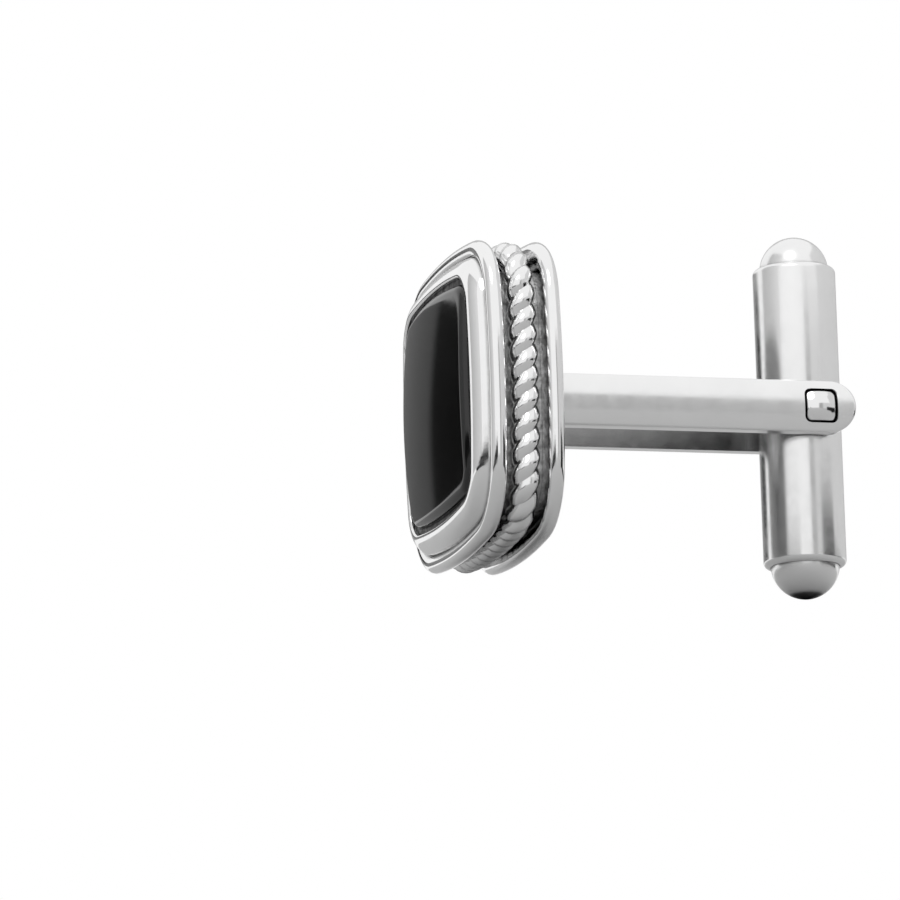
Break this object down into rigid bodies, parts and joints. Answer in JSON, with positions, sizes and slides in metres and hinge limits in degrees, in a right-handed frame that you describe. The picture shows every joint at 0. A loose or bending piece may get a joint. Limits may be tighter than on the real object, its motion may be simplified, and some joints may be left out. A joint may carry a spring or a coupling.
{
  "type": "cufflink",
  "caption": "Square cushion cufflink: black stone in a moulded silver frame with a twisted rope band, a two-armed stem and a sprung swivelling bar.",
  "frame": {"origin": "centre of the head's flat back face, on the stem's axis", "axes": "+Y along the stem from the head to the bar, +Z along the bar in its closed position, the face looks to -Y"},
  "size_m": [0.0166, 0.023, 0.0198],
  "materials": {
    "polished_silver": "polished sterling silver",
    "black_onyx": "polished black onyx",
    "setting_cement": "dark granular setting cement",
    "oxidised_silver": "blackened rough silver",
    "rope_silver": "polished twisted silver wire",
    "stem_silver": "polished sterling silver",
    "pin_silver": "polished sterling silver",
    "bar_silver": "satin-polished sterling silver",
    "spring_steel": "plain spring steel"
  },
  "bodies": {
    "head": {"bezel_frame": "polished_silver", "onyx_stone": "black_onyx", "stone_cement": "setting_cement", "channel_band": "oxidised_silver", "rope_ring": "rope_silver", "back_plate": "polished_silver", "stem_fork": "stem_silver", "pivot_pin": "pin_silver"},
    "toggle": {"toggle_tube": "bar_silver", "end_plug_upper": "bar_silver", "end_plug_lower": "bar_silver", "detent_spring": "spring_steel"}
  },
  "joints": [
    {"name": "toggle_swivel", "type": "hinge", "parent": "head", "child": "toggle", "pos_m": [0, 0.0157, 0], "axis": [1, 0, 0], "range_deg": [-90, 90], "deforming": ["detent_spring"]}
  ]
}
